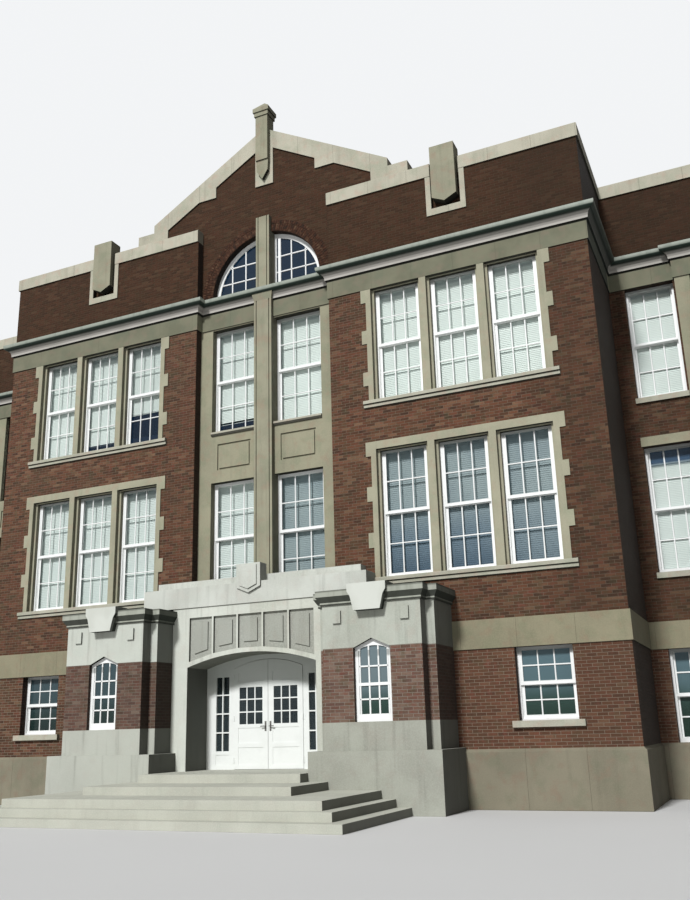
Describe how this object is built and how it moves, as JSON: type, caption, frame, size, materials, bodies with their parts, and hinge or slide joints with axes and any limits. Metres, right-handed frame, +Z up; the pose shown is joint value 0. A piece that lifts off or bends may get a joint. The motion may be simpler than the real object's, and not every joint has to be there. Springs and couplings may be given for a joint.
{
  "type": "school building",
  "caption": "Brick school building with stone trim, a stepped gable over the recessed middle bay, parapets, set-back wings, an arched stone portico with steps and a pair of hinged doors",
  "frame": {"origin": "on the ground at the middle of the front, on the front face of the side bays", "axes": "+Z up, -Y the front that the steps and doors face, +X to the viewer's right"},
  "size_m": [30.73, 18.005, 18.74],
  "materials": {
    "brick": "matt dark red-brown brick with thin mortar joints",
    "trim_stone": "matt warm grey-beige stone",
    "portico_stone": "weathered pale grey cast stone",
    "white_timber": "white paint",
    "glass": "clear glass",
    "floor": "plain concrete floor",
    "roofing": "dark gravelled roofing",
    "dark_metal": "dark handle"
  },
  "bodies": {
    "building": {"arch_block": "portico_stone", "arch_piers": "portico_stone", "attic": "portico_stone", "base_faces": "trim_stone", "base_returns": "trim_stone", "belt_course": "trim_stone", "centre_bay": "trim_stone", "centre_pier": "trim_stone", "coping_faces": "trim_stone", "coping_returns": "trim_stone", "cornice_faces": "trim_stone", "cornice_returns": "trim_stone", "door_head": "white_timber", "end_walls": "brick", "entrance_steps": "portico_stone", "finial": "trim_stone", "floors_front": "floor", "floors_main": "floor", "front_walls": "brick", "front_window_frames": "white_timber", "front_window_glass": "glass", "gable_coping": "trim_stone", "gable_wall": "brick", "hinge_pins": "dark_metal", "lintels": "trim_stone", "moulded_sills": "trim_stone", "other_window_frames": "white_timber", "other_window_glass": "glass", "parapet_pendants": "trim_stone", "plain_sills": "trim_stone", "porch_floor": "portico_stone", "portico_bases": "portico_stone", "portico_brick_bands": "brick", "portico_caps": "portico_stone", "portico_heads": "portico_stone", "rear_wall": "brick", "return_walls": "brick", "roof_front": "roofing", "roof_main": "roofing", "side_screen_glass": "glass", "side_screens": "white_timber", "window_surrounds": "trim_stone", "wing_bay_facings": "trim_stone", "wing_front_walls": "brick"},
    "right_door": {"door_right": "white_timber", "door_right_glass": "glass", "handle_right": "dark_metal"},
    "left_door": {"door_left": "white_timber", "door_left_glass": "glass", "handle_left": "dark_metal"}
  },
  "joints": [
    {"name": "right_door_hinge", "type": "hinge", "parent": "building", "child": "right_door", "pos_m": [0.914, 0.322, 0.808], "axis": [0, 0, 1], "range_deg": [0, 90]},
    {"name": "left_door_hinge", "type": "hinge", "parent": "building", "child": "left_door", "pos_m": [-0.914, 0.322, 0.808], "axis": [0, 0, -1], "range_deg": [0, 90]}
  ]
}
